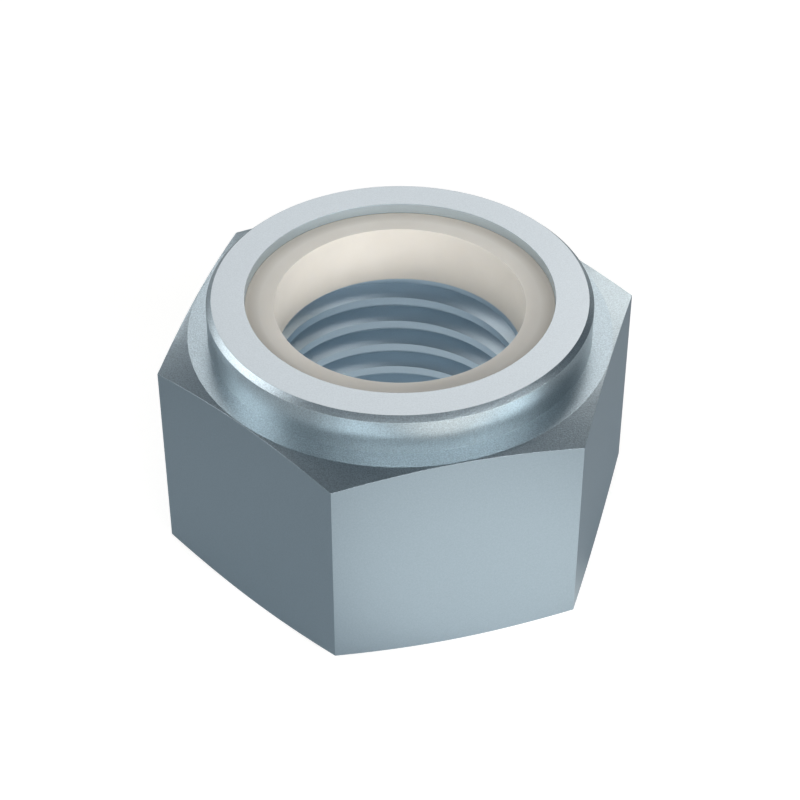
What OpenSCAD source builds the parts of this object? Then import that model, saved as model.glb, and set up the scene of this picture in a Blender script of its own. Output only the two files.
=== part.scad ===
// Nylon insert lock nut: a hexagonal steel nut with a turned collar, and a plain
// nylon ring that the collar's rolled-in lip holds above the thread.
// The origin is the middle of the bearing face, +Z runs along the thread towards the
// collar, and two of the hexagon's corners lie on the X axis. Lengths are in millimetres.

/* [Hexagon] */
// Width across two opposite flats
across_flats = 41; // [40:0.5:46]
// Height of the hexagon, from the bearing face to the collar's foot
hex_h = 22.5; // [21.5:0.5:23]
// Slope of the chamfer cones that cut the corners, in degrees
chamfer_angle = 15.5; // [12:0.5:30]
// Width of the ring left between each chamfer cone and the middle of a flat
flat_margin = 0.1; // [0.05:0.05:0.15]

/* [Thread] */
// Bore at the crests of the M27 x 3 internal thread
crest_d = 24.1; // [24.05:0.05:24.25]
// Mouth of the lead-in cone at the bearing face
lead_in_d = 28.6; // [27.5:0.1:30]
// Included angle of the lead-in cone, in degrees
lead_in_angle = 90; // [60:5:120]

/* [Collar] */
// Height of the whole nut
total_h = 26.5; // [26:0.1:28]
// Outside of the collar
collar_d = 36.9; // [36:0.1:37]
// Chamfer on the collar's top outer edge
collar_edge = 0.5; // [0.2:0.1:0.8]
// Opening inside the rolled-in lip
lip_d = 29.6; // [28:0.1:31]
// Depth of the lip's upright inner edge
lip_t = 1.1; // [0.8:0.1:1.4]
// Fall of the lip's underside, from its inner edge out to the seat
lip_fall = 0.6; // [0.2:0.1:1]

/* [Nylon ring] */
// Smooth bore that the bolt's thread cuts into
ring_bore_d = 24; // [23.5:0.1:24]
// Outside of the ring, which is also the seat inside the collar
ring_d = 32.8; // [32:0.1:33.4]
// Height of the ring
ring_h = 6.2; // [5:0.1:6.5]

/* [Hidden] */
$fn = 128;

steel = [0.60, 0.67, 0.71];
nylon = [0.83, 0.80, 0.75];

clear = 1;
flat_r = across_flats / 2;
corner_r = flat_r / cos(30);
chamfer_r = flat_r - flat_margin;
chamfer_h = (corner_r + clear - chamfer_r) * tan(chamfer_angle);
collar_r = collar_d / 2;
crest_r = crest_d / 2;
lead_in_h = (lead_in_d - crest_d) / 2 / tan(lead_in_angle / 2);
lip_r = lip_d / 2;
ring_r = ring_d / 2;
ring_bore_r = ring_bore_d / 2;
ring_top = total_h - lip_t;
seat_z = ring_top - ring_h;
shoulder_z = ring_top - lip_fall;

// Half of the outline that a lathe gives the hexagonal bar
module turned_outline() {
    polygon([
        [0, 0],
        [chamfer_r, 0],
        [corner_r + clear, chamfer_h],
        [corner_r + clear, hex_h - chamfer_h],
        [chamfer_r, hex_h],
        [collar_r, hex_h],
        [collar_r, total_h - collar_edge],
        [collar_r - collar_edge, total_h],
        [0, total_h],
    ]);
}

// Half of the hollow: lead-in cone, thread, seat for the ring, lip
module bore_outline() {
    polygon([
        [0, -clear],
        [lead_in_d / 2 + clear * tan(lead_in_angle / 2), -clear],
        [crest_r, lead_in_h],
        [crest_r, seat_z],
        [ring_r, seat_z],
        [ring_r, shoulder_z],
        [lip_r, ring_top],
        [lip_r, total_h + clear],
        [0, total_h + clear],
    ]);
}

module nut_body() {
    color(steel)
    difference() {
        intersection() {
            cylinder(h = total_h, r = corner_r, $fn = 6);
            rotate_extrude() turned_outline();
        }
        rotate_extrude() bore_outline();
    }
}

// The ring fills its seat, and its top outer edge takes the slope of the lip
module nylon_insert() {
    color(nylon)
    rotate_extrude()
    polygon([
        [ring_bore_r, seat_z],
        [ring_r, seat_z],
        [ring_r, shoulder_z],
        [lip_r, ring_top],
        [ring_bore_r, ring_top],
    ]);
}

nut_body();
nylon_insert();
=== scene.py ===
# %% [markdown]
# # A nylon insert lock nut
# This nut is two pieces. The body is hexagonal steel bar, faced and chamfered at both ends,
# turned down to a round collar at the top, bored, tapped and zinc plated. A plain nylon ring
# drops into a seat above the thread, and the collar's rim is rolled in over it.
# We load the measured model first. Everything below stands in its frame: metres, the middle
# of the bearing face at the origin, the thread's axis along Z, hexagon corners on the X axis.

# %% Load the measured model
import math
import bmesh
import bpy
import numpy as np
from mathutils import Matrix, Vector


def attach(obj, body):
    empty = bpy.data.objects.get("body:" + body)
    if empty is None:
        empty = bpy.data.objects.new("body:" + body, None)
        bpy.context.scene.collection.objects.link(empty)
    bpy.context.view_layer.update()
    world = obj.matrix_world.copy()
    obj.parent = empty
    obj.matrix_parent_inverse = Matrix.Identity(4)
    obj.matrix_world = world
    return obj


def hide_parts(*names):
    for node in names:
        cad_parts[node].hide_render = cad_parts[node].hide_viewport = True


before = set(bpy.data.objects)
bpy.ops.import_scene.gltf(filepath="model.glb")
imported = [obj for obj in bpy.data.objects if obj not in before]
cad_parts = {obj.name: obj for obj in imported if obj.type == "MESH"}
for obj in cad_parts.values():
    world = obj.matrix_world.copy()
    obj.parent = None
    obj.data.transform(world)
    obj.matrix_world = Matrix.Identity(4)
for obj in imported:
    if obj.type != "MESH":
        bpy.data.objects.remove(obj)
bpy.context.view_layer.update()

# %% [markdown]
# ## Sizes
# The sizes are those of a 27 mm nut with a 3 mm pitch, 41 mm across flats, in millimetres.
# A function that builds a surface works in millimetres too, and the mesh is scaled to metres
# at the very end, because 18.45 is easier to check against a drawing than 0.01845.

# %% The nut's sizes
MM = 0.001
FLAT_R = 20.5           # half the width across flats
HEX_H = 22.5            # height of the hexagon, up to the collar's foot
CHAMFER_R = 20.4        # where the chamfer cones start
CHAMFER_SLOPE = math.tan(math.radians(15.5))
COLLAR_R = 18.45
COLLAR_EDGE = 0.5       # the collar's top edge is cut at 45 degrees by this much
TOTAL_H = 26.5
LIP_R = 14.8            # opening inside the rolled rim
LIP_Z = 25.4            # lower end of the rim's upright edge
SEAT_R = 16.4           # wall of the nylon's seat
SHOULDER_Z = 24.8       # where that wall meets the rim's sloping underside
SEAT_Z = 19.2           # floor of the seat
LEAD_IN_R = 14.3        # mouth of the 45 degree cone that leads into the thread
PITCH = 3.0
CREST_R = 12.05
ROOT_R = 13.45
CREST_W = 0.87          # width of a crest, measured along the axis
FLANK_LEAN = math.radians(30)
THREAD_START = 0.325    # height of a crest's lower edge at angle 0
corner_to_corner = 2 * FLAT_R / math.cos(math.pi / 6)
print(f"hexagon {2 * FLAT_R} mm across flats, {corner_to_corner:.2f} mm across corners")

# %% [markdown]
# ## One set of angles for every surface of the body
# The body could be a boolean of a prism, a cone and a drilled hole, but booleans leave long
# thin triangles that spoil the reflections in bright metal. Instead each surface is a grid of
# two parameters, the angle round the axis and the place along a profile. All of them share
# one set of angles, so their edges meet point for point. The columns stand one degree apart,
# and one falls exactly on each of the six corners. Crowding them at the corners wouldn't make
# a corner sharper, and the uneven faces would show as streaks on the flat rim.

# %% Angles round the axis
ANGLES = np.radians(np.arange(360))
print(len(ANGLES), "columns, one on each corner:", np.degrees(ANGLES[::60]))

# %% [markdown]
# ## The hexagon as a radius
# Seen from above, a flat is a straight line, and a straight line at distance R from the axis
# has the radius R / cos(angle from its middle). Written as a radius for each angle, the
# hexagon fits the same grid as the round parts. A drawn bar's corners are so little rounded
# that it doesn't show at this size, so two flats meet in a plain sharp corner.

# %% Radius of the hexagon
def hexagon_radius(angle):
    """R / cos(angle from the flat's middle), with the middles at 30, 90, 150 degrees and on."""
    from_middle = (angle % math.radians(60)) - math.radians(30)
    return FLAT_R / np.cos(from_middle)


wall_r = hexagon_radius(ANGLES)
print(f"the wall runs from {wall_r.min():.3f} to {wall_r.max():.3f} mm from the axis")

# %% [markdown]
# ## Softened edges
# A turned edge is never perfectly sharp, and the thin bright line that it catches is what
# makes metal look solid. A Bevel modifier could round the edges, but it would also cut up the
# neat grid. Here each corner of a profile is replaced by a fillet of the same number of rows,
# so that the grid stays a grid. This nut's edges are crisp, so most of its fillets are only
# hundredths of a millimetre.

# %% Fillets on a profile
MOST_OF_SIDE = 0.45     # a fillet takes no more than this share of a side, so that two fit


def soften(corners, reach, rows):
    """corners has one row of (radius, height) for each corner of the profile and one column
    for each angle. Each inner corner C becomes a rational quadratic curve from A, on the way
    in, to B, on the way out: ((1-t)^2 A + 2 w t (1-t) C + t^2 B) / ((1-t)^2 + 2 w t (1-t) + t^2),
    a circular arc when w is the sine of half the angle between the two sides."""
    here = corners[1:-1]
    back = corners[:-2] - here
    ahead = corners[2:] - here
    back_len = np.linalg.norm(back, axis=-1, keepdims=True)
    ahead_len = np.linalg.norm(ahead, axis=-1, keepdims=True)
    room = MOST_OF_SIDE * np.minimum(back_len, ahead_len)
    cut = np.minimum(np.array(reach)[:, None, None], room)
    start = here + back / back_len * cut
    end = here + ahead / ahead_len * cut
    cosine = np.sum(back * ahead, axis=-1, keepdims=True) / (back_len * ahead_len)
    weight = np.sqrt(np.clip((1 - cosine) / 2, 0, 1))
    t = np.linspace(0, 1, rows)[:, None, None, None]
    top = (1 - t) ** 2 * start + 2 * weight * t * (1 - t) * here + t ** 2 * end
    arc = top / ((1 - t) ** 2 + 2 * weight * t * (1 - t) + t ** 2)
    inner = np.moveaxis(arc, 0, 1).reshape(-1, corners.shape[1], 2)
    return np.concatenate([corners[:1], inner, corners[-1:]])


right_angle = np.array([[[1.0, 0.0]], [[0.0, 0.0]], [[0.0, 1.0]]])
tried = soften(right_angle, [0.4], 3)[2, 0]
print("the middle of a 0.4 mm fillet stands", np.round(tried, 3), "mm from its corner")

# %% [markdown]
# ## The thread's section
# A metric thread is a row of 60 degree grooves. Cut along the axis, one pitch of a nut's
# thread has a flat crest nearest the bolt, a flank that leans 30 degrees away, a narrow root
# and the flank back. The section starts and ends in the middle of a flank, so that copies of
# it join without a seam. Its corners stay sharp, because fillets here catch bright lines that
# the real thread doesn't show.

# %% One pitch of the thread
flank_h = (ROOT_R - CREST_R) * math.tan(FLANK_LEAN)
root_w = PITCH - CREST_W - 2 * flank_h
middle_r = (CREST_R + ROOT_R) / 2
section = np.array([
    [middle_r, -flank_h / 2],
    [CREST_R, 0],
    [CREST_R, CREST_W],
    [ROOT_R, CREST_W + flank_h],
    [ROOT_R, CREST_W + flank_h + root_w],
    [middle_r, PITCH - flank_h / 2],
])
print(f"thread: flanks {flank_h:.3f} mm high, root {root_w:.3f} mm wide, "
      f"{len(section) - 1} rows a pitch")


def thread_radius(height):
    """Radius of the section at a height above a crest's lower edge, repeated every pitch."""
    wrapped = (height - section[0, 1]) % PITCH + section[0, 1]
    return np.interp(wrapped, section[:, 1], section[:, 0])


# %% [markdown]
# ## The thread's surface
# A screw thread is its section carried up while it turns. If the grid's rows were level, the
# sharp crest would cut across them in steps. So the rows climb with the thread: each row is
# one point of the section, and its height grows by one pitch over a turn. Where the tap's way
# in is cut away by a cone, the nearest point of each column moves on to the cone's edge, so
# that this edge is clean too. A row that ends a hair above the bearing face or below the seat
# moves on to it, because a sliver of a face there would be shaded the wrong way.

# %% The tapped bore as a grid
TURNS = np.arange(-2, 7)    # pitches, enough for the climbing rows to fill the whole bore
SLIVER = 0.02               # mm


def tapped_bore(angles):
    """Rows follow the section's points p, and height = start + pitch * angle / turn + p + k
    pitches. Heights stay between the bearing face and the seat. The radius is the larger of
    the section's and the lead-in cone's, which is LEAD_IN_R minus the height. Where a step
    from one row to the next crosses the cone's edge, its nearer end moves to the crossing."""
    closed = np.append(angles, 2 * math.pi)
    along = (TURNS[:, None] * PITCH + section[None, :-1, 1]).ravel()
    lift = THREAD_START + PITCH * closed / (2 * math.pi)
    z = np.clip(along[:, None] + lift[None, :], 0, SEAT_Z)
    z = np.where(z < SLIVER, 0, np.where(z > SEAT_Z - SLIVER, SEAT_Z, z))
    r = thread_radius(z - lift[None, :])
    over = r - (LEAD_IN_R - z)
    crossing = over[:-1] * over[1:] < 0
    share = np.where(crossing, over[:-1] / np.where(crossing, over[:-1] - over[1:], 1), 0)
    z_cross = z[:-1] + share * (z[1:] - z[:-1])
    r_cross = r[:-1] + share * (r[1:] - r[:-1])
    lower = crossing & (share < 0.5)
    upper = crossing & (share >= 0.5)
    r = np.maximum(r, LEAD_IN_R - z)
    z[:-1] = np.where(lower, z_cross, z[:-1])
    r[:-1] = np.where(lower, r_cross, r[:-1])
    z[1:] = np.where(upper, z_cross, z[1:])
    r[1:] = np.where(upper, r_cross, r[1:])
    return closed, r, z


bore_angles, bore_r, bore_z = tapped_bore(ANGLES)
print(f"bore grid: {bore_r.shape[0]} rows, {bore_r.min():.2f} to {bore_r.max():.2f} mm from the axis")

# %% [markdown]
# ## The outside of the body
# The lathe's work is one profile, from the mouth of the bore, over the bearing face, up the
# hexagon and the collar, over the rim and down into the seat. Only the hexagon's wall and the
# ends of its chamfers change with the angle: a chamfer cone meets the wall low at the corners
# and barely touches it in the middle of a flat, which gives the arched edges that every
# hexagon nut has.

# %% The turned profile
def corner_grid(rows, angles):
    """One row for each corner (radius, height) and one column for each angle. A plain number
    is the same at every angle."""
    same = np.zeros_like(angles)
    return np.array([[r + same, z + same] for r, z in rows]).transpose(0, 2, 1)


def turned_corners(angles):
    """The profile's corners, from the lead-in's mouth to the seat's inner edge. At radius R a
    chamfer cone has come down by (R - CHAMFER_R) * slope."""
    wall = hexagon_radius(angles)
    drop = (wall - CHAMFER_R) * CHAMFER_SLOPE
    seat_edge = thread_radius(SEAT_Z - THREAD_START - PITCH * angles / (2 * math.pi))
    rows = [
        (LEAD_IN_R, 0), (CHAMFER_R, 0), (wall, drop), (wall, HEX_H - drop),
        (CHAMFER_R, HEX_H), (COLLAR_R, HEX_H), (COLLAR_R, TOTAL_H - COLLAR_EDGE),
        (COLLAR_R - COLLAR_EDGE, TOTAL_H), (LIP_R, TOTAL_H), (LIP_R, LIP_Z),
        (SEAT_R, SHOULDER_Z), (SEAT_R, SEAT_Z), (seat_edge, SEAT_Z),
    ]
    return corner_grid(rows, angles)


# one value for each inner corner: how far the fillet reaches along its two sides
REACH = [0.03, 0.02, 0.02, 0.03, 0.005, 0.015, 0.02, 0.03, 0.03, 0.1, 0.1]
FILLET_ROWS = 8
outside = soften(turned_corners(ANGLES), REACH, FILLET_ROWS)
print("outside grid:", outside.shape[0], "rows by", outside.shape[1], "columns")

# %% [markdown]
# ## From grids to one closed mesh
# Each grid becomes points and four-sided faces. The body's two grids touch along the
# lead-in's mouth and along the seat's inner edge, and merging the doubled points there closes
# the skin. Merging also removes the rows that the bearing face and the seat cut off. An edge
# where the surface turns by more than 40 degrees is marked sharp, which keeps it crisp under
# smooth shading.

# %% Grid helpers
def grid_points(angles, r, z):
    """Points (r cos a, r sin a, z) of a grid, one row after another."""
    a = np.broadcast_to(angles, r.shape)
    return np.stack([r * np.cos(a), r * np.sin(a), z], axis=-1).reshape(-1, 3)


def grid_faces(rows, columns, wrap, flip=False):
    """Point numbers of the grid's faces: each face joins a point, the one beside it and the
    two above them. wrap joins the last column to the first, and flip turns the faces round."""
    row = np.arange(rows - 1)[:, None]
    column = np.arange(columns if wrap else columns - 1)[None, :]
    beside = (column + 1) % columns
    quads = [row * columns + column, row * columns + beside,
             (row + 1) * columns + beside, (row + 1) * columns + column]
    if flip:
        quads.reverse()
    return np.stack(quads, axis=-1).reshape(-1, 4)


small = grid_faces(3, 4, wrap=True)
print("a wrapped grid of 3 rows and 4 columns has", len(small), "faces, the first", small[0])

# %% The mesh maker
MERGE_WITHIN = 2e-7     # metres
NO_LENGTH = 1e-8        # metres
SHARP_FROM = math.radians(40)


def closed_mesh(name, points, faces, values):
    """A smooth-shaded mesh in metres, with doubled points merged and its sharp edges marked.
    values holds one number for each face, kept as the attribute named finish."""
    mesh = bpy.data.meshes.new(name)
    mesh.from_pydata((points * MM).tolist(), [], faces.tolist())
    layer = mesh.attributes.new("finish", "FLOAT", "FACE")
    layer.data.foreach_set("value", values.astype(np.float32))
    work = bmesh.new()
    work.from_mesh(mesh)
    bmesh.ops.remove_doubles(work, verts=work.verts, dist=MERGE_WITHIN)
    bmesh.ops.dissolve_degenerate(work, edges=work.edges, dist=NO_LENGTH)
    open_edges = sum(1 for e in work.edges if len(e.link_faces) != 2)
    volume = work.calc_volume(signed=True) / MM ** 3
    work.to_mesh(mesh)
    work.free()
    mesh.polygons.foreach_set("use_smooth", [True] * len(mesh.polygons))
    mesh.set_sharp_from_angle(angle=SHARP_FROM)
    piece = bpy.data.objects.new(name, mesh)
    bpy.context.collection.objects.link(piece)
    print(f"{name}: {len(mesh.vertices)} points, {len(mesh.polygons)} faces, "
          f"{open_edges} open edges, {volume:.0f} mm3")
    return piece


# %% [markdown]
# ## The body
# The plating looks different on each kind of surface, so the mesh says how a place was made:
# 0 on the drawn flats, 1 on what the lathe turned, 2 on the faced rim, and 3 on the rim's
# rolled edge and in the tapped bore, which the roller and the tap left bright. Number 3 also
# carries painted light: its tint is made paler to stand for light in the shaded bore. The
# number is kept on the faces. On the points it would be mixed wherever two surfaces share a
# point, and the finish of one would smear into the next.

# %% What made each surface
DRAWN, TURNED, RIM, BRIGHT_AND_LIGHTENED = 0, 1, 2, 3
# one value for each side of the profile, from the bearing face to the floor of the seat
SIDE_FINISH = [TURNED, TURNED, DRAWN, TURNED, TURNED, TURNED, TURNED, RIM, BRIGHT_AND_LIGHTENED,
               TURNED, TURNED, TURNED]
# A fillet has seven bands of faces. A side takes the last four of the fillet before it, its
# own one, and the first three of the fillet after it.
half = FILLET_ROWS // 2
bands = [half] + [FILLET_ROWS] * (len(SIDE_FINISH) - 2) + [half + 1]
band_finish = np.repeat(SIDE_FINISH, bands)
print(len(band_finish), "bands of faces between", outside.shape[0], "rows")

# %% Build the body
outside_rows = outside.shape[0]
bore_faces = (bore_r.shape[0] - 1) * (bore_r.shape[1] - 1)
points = np.concatenate([
    grid_points(ANGLES, outside[..., 0], outside[..., 1]),
    grid_points(bore_angles, bore_r, bore_z),
])
faces = np.concatenate([
    grid_faces(outside_rows, len(ANGLES), wrap=True),
    grid_faces(*bore_r.shape, wrap=False, flip=True) + outside_rows * len(ANGLES),
])
finish = np.concatenate([np.repeat(band_finish, len(ANGLES)), np.full(bore_faces, BRIGHT_AND_LIGHTENED)])
body = closed_mesh("plated_body", points, faces, finish)
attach(body, "root")
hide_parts("nut_body")

# %% [markdown]
# ## The nylon ring
# The ring is a plain turned section: upright bore, level top that disappears under the rolled
# rim, and a slope that lies against the rim's underside. It fills the seat with a hair of
# clearance on the faces that touch the steel, so that the two meshes never cut into each
# other. The section starts and ends half way up the bore, so that all its corners get a
# fillet.

# %% Build the ring
GAP = 0.02                  # mm
RING_BORE_R = 12.0
RING_START_Z = 22
RING_REACH = [0.03, 0.2, 0.2, 0.1, 0.03]
RING_FILLET_ROWS = 6
ring_rows = [
    (RING_BORE_R, RING_START_Z), (RING_BORE_R, SEAT_Z + GAP), (SEAT_R - GAP, SEAT_Z + GAP),
    (SEAT_R - GAP, SHOULDER_Z - GAP), (LIP_R, LIP_Z - GAP), (RING_BORE_R, LIP_Z - GAP),
    (RING_BORE_R, RING_START_Z),
]
ring_outline = soften(corner_grid(ring_rows, ANGLES), RING_REACH, RING_FILLET_ROWS)
ring = closed_mesh(
    "nylon_ring",
    grid_points(ANGLES, ring_outline[..., 0], ring_outline[..., 1]),
    grid_faces(ring_outline.shape[0], len(ANGLES), wrap=True),
    np.zeros((ring_outline.shape[0] - 1) * len(ANGLES)),
)
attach(ring, "root")
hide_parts("nylon_insert")

# %% [markdown]
# ## Shading across the fillets
# Smooth shading alone would bend the light on a wide flat face towards its narrow fillets.
# The Weighted Normal modifier lets the large faces decide, so flats stay flat and only the
# fillets turn the light.

# %% Weighted normals
for piece in (body, ring):
    weigh = piece.modifiers.new("flats stay flat", "WEIGHTED_NORMAL")
    weigh.mode = "FACE_AREA"
    weigh.weight = 50
    weigh.keep_sharp = True
    print(piece.name, "has", [modifier.type for modifier in piece.modifiers])

# %% [markdown]
# ## Grain for the finishes
# Both finishes need fine mottling, so it is one node group that each material uses with its
# own scales. It reads object coordinates, so that the grain is fixed to the piece, and gives a
# slow noise, which only the nylon uses, a fine noise, and a normal that the fine one bumps.

# %% Helpers for node trees
def put(nodes, kind, operation=None):
    """A new node. Math and Vector Math nodes also take an operation."""
    node = nodes.new(kind)
    if operation is not None:
        node.operation = operation
    return node


def new_group(name, inputs, outputs):
    """A node group with named sockets, its input node and its output node. inputs and outputs
    give the kind of each socket by its name."""
    group = bpy.data.node_groups.new(name, "ShaderNodeTree")
    for way, asked in (("INPUT", inputs), ("OUTPUT", outputs)):
        for label, kind in asked.items():
            group.interface.new_socket(label, in_out=way, socket_type=kind)
    print("node group:", name, sorted(inputs), "to", sorted(outputs))
    return group, group.nodes.new("NodeGroupInput"), group.nodes.new("NodeGroupOutput")


NUMBER, COLOUR, VECTOR = "NodeSocketFloat", "NodeSocketColor", "NodeSocketVector"

# %% The grain group
def grain_group():
    """Two noises on object coordinates. Cloud is the coarse one and Speck the fine one, and
    the normal is bumped to a height of Speck times the fine depth, in metres."""
    group, given, out = new_group(
        "surface grain",
        {"Coarse scale": NUMBER, "Fine scale": NUMBER, "Fine depth": NUMBER},
        {"Cloud": NUMBER, "Speck": NUMBER, "Normal": VECTOR},
    )
    nodes, links = group.nodes, group.links
    where = put(nodes, "ShaderNodeTexCoord")
    cloud = put(nodes, "ShaderNodeTexNoise")
    cloud.inputs["Detail"].default_value = 3.0
    speck = put(nodes, "ShaderNodeTexNoise")
    speck.inputs["Detail"].default_value = 2.0
    height = put(nodes, "ShaderNodeMath", "MULTIPLY")
    bump = put(nodes, "ShaderNodeBump")
    bump.inputs["Distance"].default_value = 1.0
    links.new(where.outputs["Object"], cloud.inputs["Vector"])
    links.new(where.outputs["Object"], speck.inputs["Vector"])
    links.new(given.outputs["Coarse scale"], cloud.inputs["Scale"])
    links.new(given.outputs["Fine scale"], speck.inputs["Scale"])
    links.new(speck.outputs["Fac"], height.inputs[0])
    links.new(given.outputs["Fine depth"], height.inputs[1])
    links.new(height.outputs[0], bump.inputs["Height"])
    links.new(cloud.outputs["Fac"], out.inputs["Cloud"])
    links.new(speck.outputs["Fac"], out.inputs["Speck"])
    links.new(bump.outputs["Normal"], out.inputs["Normal"])
    return group


GRAIN = grain_group()

# %% [markdown]
# ## Three small helpers for the materials
# A material here is a Principled shader whose sockets are fed by masks. One helper starts a
# material, one stretches a value to another range, and one turns a value into evenly spaced
# colours.

# %% Material helpers
def new_material(name):
    """An empty node material with its Principled shader and its output."""
    made_of = bpy.data.materials.new(name)
    made_of.use_nodes = True
    nodes = made_of.node_tree.nodes
    nodes.clear()
    shader = put(nodes, "ShaderNodeBsdfPrincipled")
    out = put(nodes, "ShaderNodeOutputMaterial")
    made_of.node_tree.links.new(shader.outputs["BSDF"], out.inputs["Surface"])
    print("material:", name)
    return made_of, nodes, made_of.node_tree.links, shader


def ranged(nodes, links, source, before, after):
    """The source stretched so that the range before becomes the range after, and held at its
    ends. Both ranges are (low, high)."""
    node = put(nodes, "ShaderNodeMapRange")
    for socket, value in zip(("From Min", "From Max", "To Min", "To Max"), (*before, *after)):
        node.inputs[socket].default_value = value
    links.new(source, node.inputs["Value"])
    return node.outputs["Result"]


def even_ramp(nodes, links, source, colours):
    """A colour ramp with its colours at equal steps from 0 to 1."""
    node = put(nodes, "ShaderNodeValToRGB")
    for step in range(1, len(colours) - 1):
        node.color_ramp.elements.new(step / (len(colours) - 1))
    for stop, colour in zip(node.color_ramp.elements, colours):
        stop.color = (*colour, 1)
    links.new(source, node.inputs["Fac"])
    return node.outputs["Color"]


# %% [markdown]
# ## Zinc plating: colour
# Plated steel is a metal with a blue-grey tint, and it takes after the steel below it. The
# drawn flats are dark, what the lathe turned is paler, and the bright places, the rolled edge
# and the thread, are the palest and the bluest. That is partly their bright finish and partly
# painted light, which makes up for the shade in the bore. So the finish number of the mesh,
# stretched to 0..1, picks the tint from a ramp. The fine noise also lightens and darkens the
# tint a little, as flecks, mostly on the turned surfaces. Plating is bare metal, so it is one
# shader with Metallic at 1 and no coat.

# %% The plating's tint
# one value for each finish: drawn, turned, rim, bright
# the last tint is partly painted light: it is paler to make up for the shade in the bore
PLATING_TINT = [(0.325, 0.400, 0.452), (0.53, 0.61, 0.65), (0.57, 0.61, 0.635),
                (0.665, 0.77, 0.845)]
GRAIN_SHARE = [0.25, 1.0, 0.3, 0.1]
SPECKS = (0.3, 0.7)     # where most of the fine noise lies
FLECK = 0.18

plating, nodes, links, shader = new_material("blue_grey_zinc")
shader.inputs["Metallic"].default_value = 1.0
finish_at = put(nodes, "ShaderNodeAttribute")
finish_at.attribute_name = "finish"
by_finish = ranged(nodes, links, finish_at.outputs["Fac"], (DRAWN, BRIGHT_AND_LIGHTENED), (0, 1))
tint = even_ramp(nodes, links, by_finish, PLATING_TINT)
grain_share = even_ramp(nodes, links, by_finish, [(share,) * 3 for share in GRAIN_SHARE])
grain = put(nodes, "ShaderNodeGroup")
grain.node_tree = GRAIN
fleck = put(nodes, "ShaderNodeMath", "MULTIPLY_ADD")
fleck.inputs[2].default_value = 1.0
links.new(ranged(nodes, links, grain.outputs["Speck"], SPECKS, (-FLECK, FLECK)), fleck.inputs[0])
links.new(grain_share, fleck.inputs[1])
flecked = put(nodes, "ShaderNodeVectorMath", "SCALE")
links.new(tint, flecked.inputs[0])
links.new(fleck.outputs[0], flecked.inputs["Scale"])
links.new(flecked.outputs["Vector"], shader.inputs["Base Color"])
print("the flecks change the turned tint by", FLECK, "either way")

# %% [markdown]
# ## Zinc plating: grain and gloss
# The lathe leaves a fine grain that sparkles, and the drawn flats and the rim have little of
# it, so the bump's depth follows the same mask as the flecks. The roughness decides how much
# of the studio can be made out in the metal: the drawn flats are satin, the turned places
# glossier, and the thread in between. It stays at 0.28 or more, because the renderer's
# denoiser smears the grain of a shinier metal into blotches.

# %% The plating's grain and gloss
GRAIN_SCALE = 7500.0
GRAIN_DEPTH = 0.000024      # metres
DRAWN_ROUGH = 0.45
TURNED_ROUGH = 0.28
BRIGHT_ROUGHER = 0.09       # the thread's roughness, above that of what is turned

grain.inputs["Fine scale"].default_value = GRAIN_SCALE
depth = put(nodes, "ShaderNodeMath", "MULTIPLY")
depth.inputs[1].default_value = GRAIN_DEPTH
links.new(grain_share, depth.inputs[0])
links.new(depth.outputs[0], grain.inputs["Fine depth"])
links.new(grain.outputs["Normal"], shader.inputs["Normal"])
falling = ranged(nodes, links, finish_at.outputs["Fac"], (DRAWN, TURNED),
                 (DRAWN_ROUGH, TURNED_ROUGH))
rising = ranged(nodes, links, finish_at.outputs["Fac"], (RIM, BRIGHT_AND_LIGHTENED), (0, BRIGHT_ROUGHER))
rough = put(nodes, "ShaderNodeMath", "ADD")
links.new(falling, rough.inputs[0])
links.new(rising, rough.inputs[1])
links.new(rough.outputs[0], shader.inputs["Roughness"])
body.data.materials.append(plating)
print(f"grain of about {1000 / GRAIN_SCALE:.2f} mm, {len(nodes)} nodes in the plating")

# %% [markdown]
# ## Nylon
# Nylon is a warm off-white plastic, nearly matte. A little light goes into it and comes back
# out, which softens its shadows. The slow noise varies its tint very slightly, so that it
# isn't one flat colour. Beside the rim the real ring is a little darker, and that band is
# painted shade in the tint, for the shade of the rolled rim over it. It depends on the
# distance from the axis, which is the length of the object coordinates once their height is set to 0.

# %% The nylon's gloss and grain
NYLON_SCALES = {"Coarse scale": 250.0, "Fine scale": 3000.0, "Fine depth": 0.000002}

nylon, nodes, links, shader = new_material("off_white_nylon")
shader.inputs["Roughness"].default_value = 0.6
shader.inputs["Specular IOR Level"].default_value = 0.25
shader.inputs["Subsurface Weight"].default_value = 0.15
shader.inputs["Subsurface Radius"].default_value = (1.0, 0.9, 0.7)
shader.inputs["Subsurface Scale"].default_value = 0.001
grain = put(nodes, "ShaderNodeGroup")
grain.node_tree = GRAIN
for socket, value in NYLON_SCALES.items():
    grain.inputs[socket].default_value = value
links.new(grain.outputs["Normal"], shader.inputs["Normal"])
print("nylon grain:", NYLON_SCALES)

# %% The nylon's tint
DEEPER = (0.835, 0.78, 0.70, 1)
PALER = (0.865, 0.81, 0.73, 1)
# painted shade: the colour of the band beside the rim, where the rolled rim shades the ring
PAINTED_SHADE_BY_RIM = (0.67, 0.60, 0.515, 1)
CLOUDS = (0.35, 0.65)               # where most of the slow noise lies
PAINTED_SHADE_BAND = (0.0134, 0.0144)       # metres from the axis: shade starts, shade is full

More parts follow.
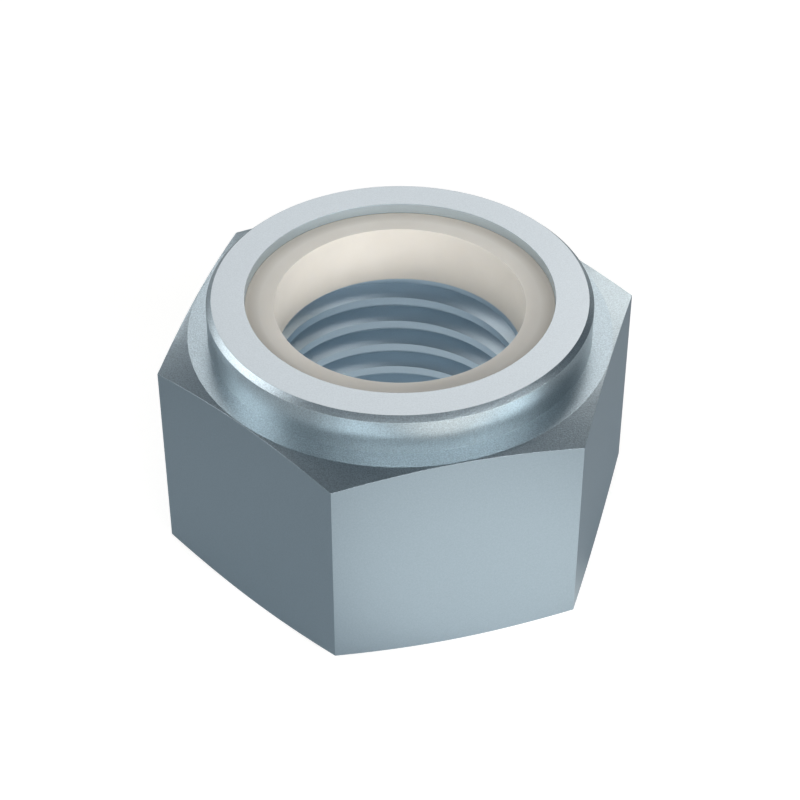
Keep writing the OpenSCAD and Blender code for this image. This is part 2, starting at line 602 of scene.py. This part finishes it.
tint = put(nodes, "ShaderNodeMix")
tint.data_type = "RGBA"
tint.inputs["A"].default_value = DEEPER
tint.inputs["B"].default_value = PALER
links.new(ranged(nodes, links, grain.outputs["Cloud"], CLOUDS, (0, 1)), tint.inputs["Factor"])
where = put(nodes, "ShaderNodeTexCoord")
flatten = put(nodes, "ShaderNodeVectorMath", "MULTIPLY")
flatten.inputs[1].default_value = (1, 1, 0)
from_axis = put(nodes, "ShaderNodeVectorMath", "LENGTH")
links.new(where.outputs["Object"], flatten.inputs[0])
links.new(flatten.outputs["Vector"], from_axis.inputs[0])
# the painted shade grows from none to full across the band
shade = ranged(nodes, links, from_axis.outputs["Value"], PAINTED_SHADE_BAND, (0, 1))
shaded = put(nodes, "ShaderNodeMix")
shaded.data_type = "RGBA"
shaded.inputs["B"].default_value = PAINTED_SHADE_BY_RIM
links.new(shade, shaded.inputs["Factor"])
links.new(tint.outputs["Result"], shaded.inputs["A"])
links.new(shaded.outputs["Result"], shader.inputs["Base Color"])
ring.data.materials.append(nylon)
print(len(nodes), "nodes in the nylon")

# %% [markdown]
# ## Camera
# The photograph looks down at about 40 degrees, a little to the left of a flat, from five
# widths away. The lens was solved from the hexagon's corners. Directions are given as seen
# from there: a turn round the axis from the camera's side, and a rise above the table.

# %% The camera
CAMERA_ANGLE = -105         # degrees round the axis, where the X axis is 0
CAMERA_RISE = 39.90
CAMERA_AWAY = 217.7 * MM
TARGET = (0, 0, 13.28 * MM)


def direction(turn, rise):
    """Unit vector: turn degrees anticlockwise from the camera's side, rise degrees up. It is
    (cos a cos e, sin a cos e, sin e) for the angle a round the axis and the rise e."""
    a, e = math.radians(turn + CAMERA_ANGLE), math.radians(rise)
    return np.array([math.cos(a) * math.cos(e), math.sin(a) * math.cos(e), math.sin(e)])


def aim(thing, away):
    """Puts a lamp or camera at TARGET + away, looking back at the target, with Z upwards."""
    thing.location = Vector(TARGET) + Vector(away)
    thing.rotation_euler = Vector(away).to_track_quat("Z", "Y").to_euler()


lens = bpy.data.cameras.new("camera")
lens.lens = 99.16
camera = bpy.data.objects.new("camera", lens)
bpy.context.collection.objects.link(camera)
aim(camera, direction(0, CAMERA_RISE) * CAMERA_AWAY)
bpy.context.scene.camera = camera
print("camera at", [round(c, 4) for c in camera.location], "with a", round(lens.lens, 2), "mm lens")

# %% [markdown]
# ## What the nut stands on
# The table has to do two things. The camera sees it plain white. The nut's flats and collar
# mirror it, and there it can't be plain white, because the real nut's front flat mirrors
# something light while the flats on both sides mirror something dark. So the mirrored table is
# mostly dark, with soft glowing discs on it that the camera doesn't see. They are painted
# reflections, and the lightest of them is a white glow in front of the front flat. The disc is
# a node group with its place, its two radii and its colour as inputs, so that one group does
# for all of them.

# %% A soft disc
def disc_group():
    """A soft disc on the floor. Its light is the colour times a share that is 1 up to the
    radius Full to, falls evenly, and is 0 from the radius Gone at."""
    group, given, out = new_group(
        "soft disc",
        {"Middle": VECTOR, "Full to": NUMBER, "Gone at": NUMBER, "Colour": COLOUR},
        {"Light": COLOUR},
    )
    nodes, links = group.nodes, group.links
    where = put(nodes, "ShaderNodeTexCoord")
    away = put(nodes, "ShaderNodeVectorMath", "DISTANCE")
    fade = put(nodes, "ShaderNodeMapRange")
    fade.inputs["To Min"].default_value = 1.0
    fade.inputs["To Max"].default_value = 0.0
    dim = put(nodes, "ShaderNodeVectorMath", "SCALE")
    links.new(where.outputs["Object"], away.inputs[0])
    links.new(given.outputs["Middle"], away.inputs[1])
    links.new(away.outputs["Value"], fade.inputs["Value"])
    links.new(given.outputs["Full to"], fade.inputs["From Min"])
    links.new(given.outputs["Gone at"], fade.inputs["From Max"])
    links.new(given.outputs["Colour"], dim.inputs[0])
    links.new(fade.outputs["Result"], dim.inputs["Scale"])
    links.new(dim.outputs["Vector"], out.inputs["Light"])
    return group


DISC = disc_group()

# %% [markdown]
# ## The floor's paper
# The floor is one large sheet of paper in a middle grey, which the lamps light and the nut
# shades. Light Path tells which kind of ray looks at it. For the camera the paper also glows,
# enough to look white. For mirror rays, and for any that come through glass, it glows with
# the discs instead. For the rest it doesn't glow at all, so that it sheds no extra light on
# the nut.

# %% The floor
FLOOR_REACH = 3
floor_corners = [(-FLOOR_REACH, -FLOOR_REACH, 0), (FLOOR_REACH, -FLOOR_REACH, 0),
                 (FLOOR_REACH, FLOOR_REACH, 0), (-FLOOR_REACH, FLOOR_REACH, 0)]
floor_mesh = bpy.data.meshes.new("floor")
floor_mesh.from_pydata(floor_corners, [], [(0, 1, 2, 3)])
floor = bpy.data.objects.new("floor", floor_mesh)
bpy.context.collection.objects.link(floor)
paper, nodes, links, shader = new_material("white_paper")
shader.inputs["Base Color"].default_value = (0.46, 0.48, 0.49, 1)
shader.inputs["Roughness"].default_value = 0.9
shader.inputs["Specular IOR Level"].default_value = 0.0
floor.data.materials.append(paper)
print("floor", 2 * FLOOR_REACH, "metres wide")

# %% The discs on the floor
# middle x and y, full to, gone at, all in metres, and colour
# painted reflections: glowing discs on the floor that the camera doesn't see, only the metal
DISCS = [
    # painted reflection: a glow under the bore that the camera doesn't see, which the thread's crests
    # mirror
    (0, 0, 0.013, 0.016, (0.285, 0.31, 0.325)),
    # the faint glow of the whole table
    (0, 0, 0.4, 0.8, (0.032, 0.030, 0.028)),
    # painted reflection: a glow on the table close by, that the camera doesn't see, for the side
    # flats and the collar
    (0, 0, 0.040, 0.056, (0.085, 0.095, 0.10)),
    # painted reflection: a white glow in front that the camera doesn't see, for the front flat
    (0.006, -0.0355, 0.0138, 0.0245, (0.81, 0.77, 0.725)),
    # painted reflection: a dim glow beyond that one, that the camera doesn't see, for the light patch
    # on the collar
    (0.026, -0.058, 0.024, 0.044, (0.27, 0.25, 0.23)),
]
mirrored_glow = None
for x, y, full, gone, colour in DISCS:
    disc = put(nodes, "ShaderNodeGroup")
    disc.node_tree = DISC
    disc.inputs["Middle"].default_value = (x, y, 0)
    disc.inputs["Full to"].default_value = full
    disc.inputs["Gone at"].default_value = gone
    disc.inputs["Colour"].default_value = (*colour, 1)
    if mirrored_glow is None:
        mirrored_glow = disc.outputs["Light"]
        continue
    both = put(nodes, "ShaderNodeVectorMath", "ADD")
    links.new(mirrored_glow, both.inputs[0])
    links.new(disc.outputs["Light"], both.inputs[1])
    mirrored_glow = both.outputs[0]
print(len(DISCS), "discs, added up")

# %% White for the camera, discs for mirror rays
CAMERA_WHITE = (0.76, 0.74, 0.72, 1)

seen = put(nodes, "ShaderNodeLightPath")
white = put(nodes, "ShaderNodeMix")
white.data_type = "RGBA"
white.inputs["B"].default_value = CAMERA_WHITE
links.new(seen.outputs["Is Camera Ray"], white.inputs["Factor"])
links.new(mirrored_glow, white.inputs["A"])
links.new(white.outputs["Result"], shader.inputs["Emission Color"])
camera_or_gloss = put(nodes, "ShaderNodeMath", "MAXIMUM")
links.new(seen.outputs["Is Camera Ray"], camera_or_gloss.inputs[0])
links.new(seen.outputs["Is Glossy Ray"], camera_or_gloss.inputs[1])
any_of_three = put(nodes, "ShaderNodeMath", "MAXIMUM")
links.new(camera_or_gloss.outputs[0], any_of_three.inputs[0])
links.new(seen.outputs["Is Transmission Ray"], any_of_three.inputs[1])
links.new(any_of_three.outputs[0], shader.inputs["Emission Strength"])
print(len(nodes), "nodes in the paper")

# %% [markdown]
# ## The air of the room
# Where no lamp stands, bright metal mirrors the room. Here that is one dim blue-grey, which
# gives the dark places of the plating their colour.

# %% The world
AIR = (0.09, 0.11, 0.128, 1)
world = bpy.data.worlds.new("studio air")
world.use_nodes = True
bpy.context.scene.world = world
world.node_tree.nodes["Background"].inputs["Color"].default_value = AIR
print("air:", AIR)

# %% [markdown]
# ## Soft panels
# Bright metal shows its lamps, so a lamp here is a large soft panel, placed for what one or
# two surfaces of the nut show of it. Small bright lamps would light the nut as well, but each
# would show as a hard spot. A panel is described by how bright it looks rather than by its
# power, so that it can be made larger or smaller without changing the brightness of its
# reflection.

# %% A panel
PANEL_AWAY = 0.6            # metres from the nut
PLAIN = (1, 1, 1)
WARM = (1.0, 0.965, 0.93)


def panel(name, turn, rise, width, height, level, colour=PLAIN):
    """A soft panel that looks like a surface of brightness level: its power is pi times its
    area times the level."""
    lamp = bpy.data.lights.new(name, "AREA")
    lamp.color = colour
    lamp.shape = "RECTANGLE"
    lamp.size, lamp.size_y = width, height
    lamp.energy = math.pi * width * height * level
    holder = bpy.data.objects.new(name, lamp)
    bpy.context.collection.objects.link(holder)
    aim(holder, direction(turn, rise) * PANEL_AWAY)
    print(f"{name}: {lamp.energy:.2f} W")


# %% [markdown]
# ## Panels in front
# Low in front, two wide panels and the key on the right light the flats, the collar and the
# far wall of the nylon's bore. The upright metal mirrors the table and not the panels, but it
# is rough enough to take a soft glow from them. A fourth, weak and high, is there for one
# surface: the front of the collar's 45 degree edge mirrors a place 50 degrees up.

# %% The front panels
panel("key", 56, 18, 0.42, 0.15, 6.8)
panel("front_low", -3, 18, 1.35, 0.13, 4.0)
panel("front", 10, 23, 1.0, 0.15, 2.5)
panel("front_high", 0, 51, 1.2, 0.12, 0.24)

# %% [markdown]
# ## Panels behind
# The camera looks down at 40 degrees, so the level faces, which are the faced rim and the
# hexagon's top beside the collar, mirror what stands 40 degrees up behind the nut. The panel
# called back is there, and gives the rim most of its light. The chamfers at the sides and the
# back mirror places beside it and lower down, which the other three light. The chamfers
# nearest the camera mirror the dark air above the panels, as they do in the photograph.

# %% The back panels
panel("back_right", 150, 17, 0.32, 0.13, 1.8, WARM)
panel("back", 180, 40, 0.27, 0.32, 1.12)
panel("back_beside", 153, 34, 0.25, 0.20, 1.1, WARM)
panel("back_left", 227, 18, 0.69, 0.13, 1.8)

# %% [markdown]
# ## Panels at the sides
# The panel on the left makes the white highlight on the left of the collar's edge, and lights
# the collar and the nylon from that side. Two weak ones high up on both sides soften the
# shade in the bore.

# %% The side panels
panel("left", 266, 32, 0.32, 0.30, 2.2)
panel("high_left", 258, 56, 0.22, 0.18, 0.75)
panel("high_right", 88, 65, 0.24, 0.20, 0.9)

# %% [markdown]
# ## Colours
# The Standard view transform shows a colour about as it is written.

bpy.context.scene.view_settings.view_transform = "Standard"
